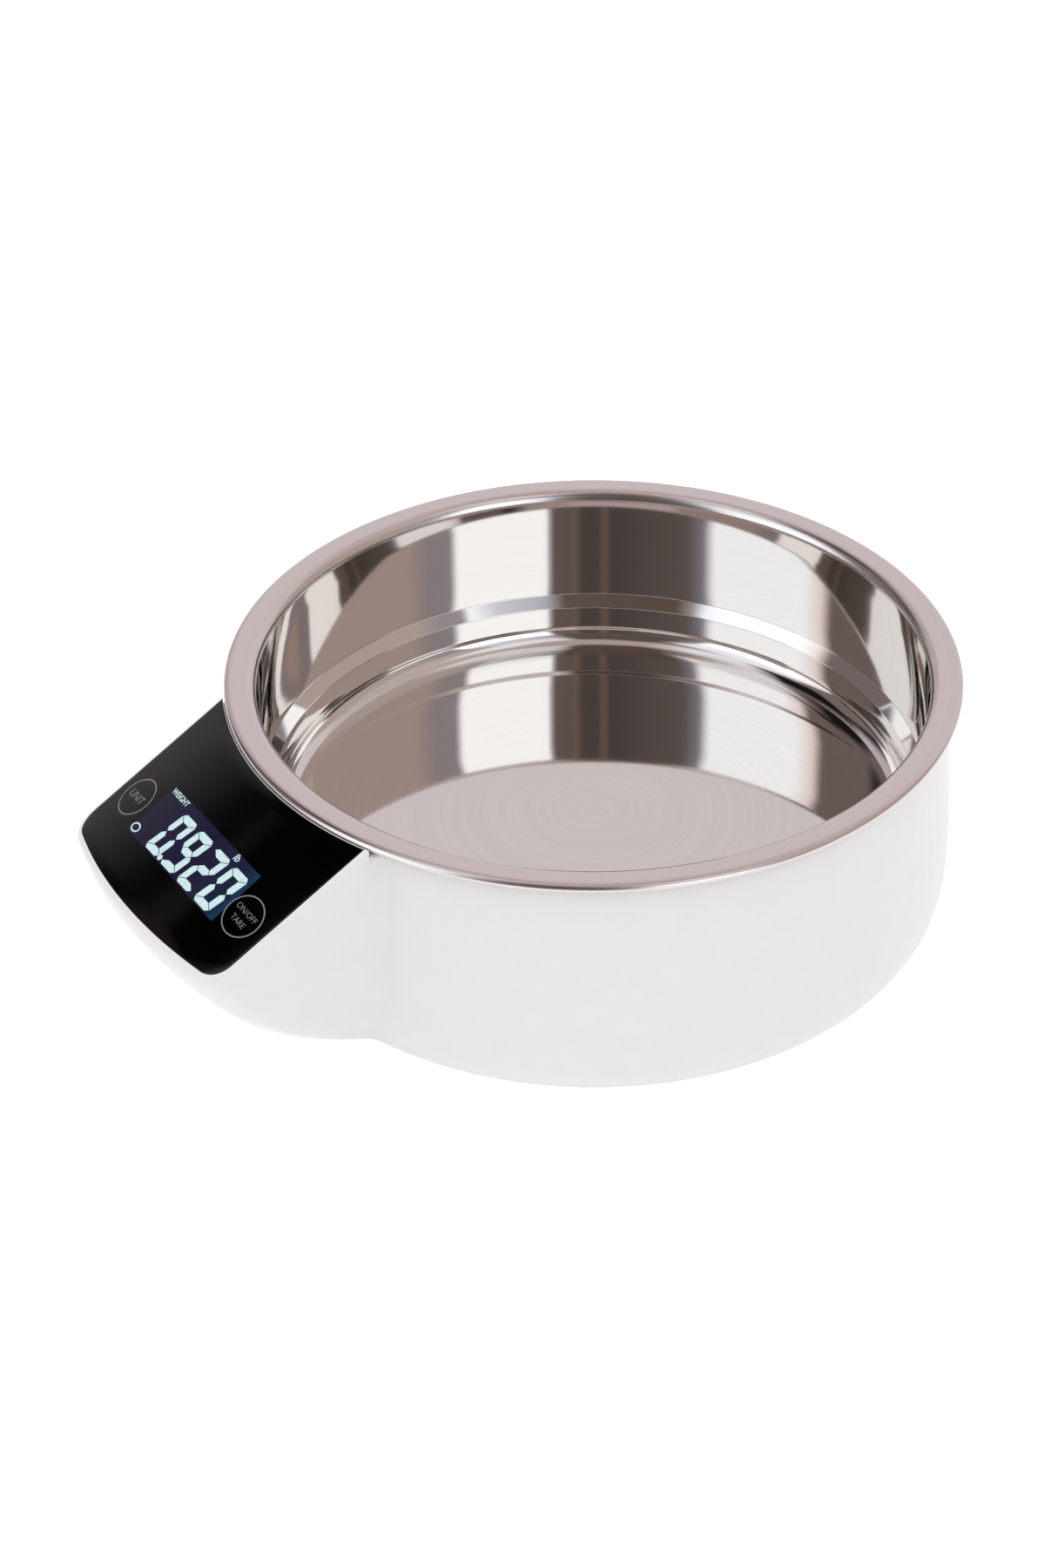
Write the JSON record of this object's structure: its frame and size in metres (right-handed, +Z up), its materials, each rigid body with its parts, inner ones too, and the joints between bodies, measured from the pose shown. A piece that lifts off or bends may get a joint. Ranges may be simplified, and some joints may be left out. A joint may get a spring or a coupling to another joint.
{
  "type": "kitchen scale",
  "caption": "Digital kitchen scale: lift-out steel bowl in a round white body with a sloped black display tongue.",
  "frame": {"origin": "where the bowl's vertical axis meets the table", "axes": "+Z up, the display tongue points to -Y, +X to the right of somebody facing the display"},
  "size_m": [0.2, 0.2434, 0.0789],
  "materials": {
    "steel": "drawn stainless steel: satin flange, polished wall, turned floor",
    "white_shell": "glossy white ABS",
    "white_base": "fine-textured white ABS",
    "inner_white": "satin white ABS",
    "black_lens": "polished black acrylic",
    "black_foam": "black adhesive foam",
    "foot_rubber": "grey rubber",
    "silicone": "translucent silicone",
    "turned_aluminium": "milled aluminium",
    "zinc": "zinc-plated steel",
    "spring_wire": "nickel-plated steel",
    "lcd_glass": "dark readout glass",
    "light_guide": "milky light guide",
    "contact_rubber": "striped contact rubber",
    "board_green": "green solder mask",
    "black_epoxy": "black epoxy and nylon",
    "battery_sleeve": "plain battery sleeve",
    "grey_lead": "grey PVC sheath",
    "red_lead": "red PVC sheath"
  },
  "bodies": {
    "housing": {"outer_housing": "white_shell", "inner_deck": "inner_white", "deck_screws": "zinc", "base_cover": "white_base", "base_screws": "zinc", "feet": "foot_rubber", "load_cell": "turned_aluminium", "gauge_seal": "silicone", "load_cell_mount": "zinc", "load_cell_screws": "zinc", "display_lens": "black_lens", "lens_gasket": "black_foam", "lcd_module": "lcd_glass", "lcd_frame": "inner_white", "backlight": "light_guide", "contact_strips": "contact_rubber", "control_board": "board_green", "board_parts": "black_epoxy", "key_springs": "spring_wire", "board_screws": "zinc", "battery_left": "battery_sleeve", "battery_right": "battery_sleeve", "battery_springs": "spring_wire", "battery_plates": "spring_wire", "sensor_cable": "grey_lead", "battery_leads": "red_lead"},
    "platform": {"weighing_platform": "inner_white", "platform_pads": "silicone", "platform_spacer": "turned_aluminium", "platform_screws": "zinc"},
    "bowl": {"bowl": "steel"},
    "door": {"battery_door": "white_base"}
  },
  "joints": [
    {"name": "platform_deflection", "type": "slide", "parent": "housing", "child": "platform", "axis": [0, 0, 1], "range_m": [-0.001, 0], "stiffness_N_per_m": 20000, "deforming": ["load_cell"]},
    {"name": "bowl_lift", "type": "slide", "parent": "platform", "child": "bowl", "axis": [0, 0, 1], "range_m": [0, 0.08]},
    {"name": "battery_door_hinge", "type": "hinge", "parent": "housing", "child": "door", "pos_m": [0, 0.04555, 0.00275], "axis": [1, 0, 0], "range_deg": [0, 95]}
  ]
}
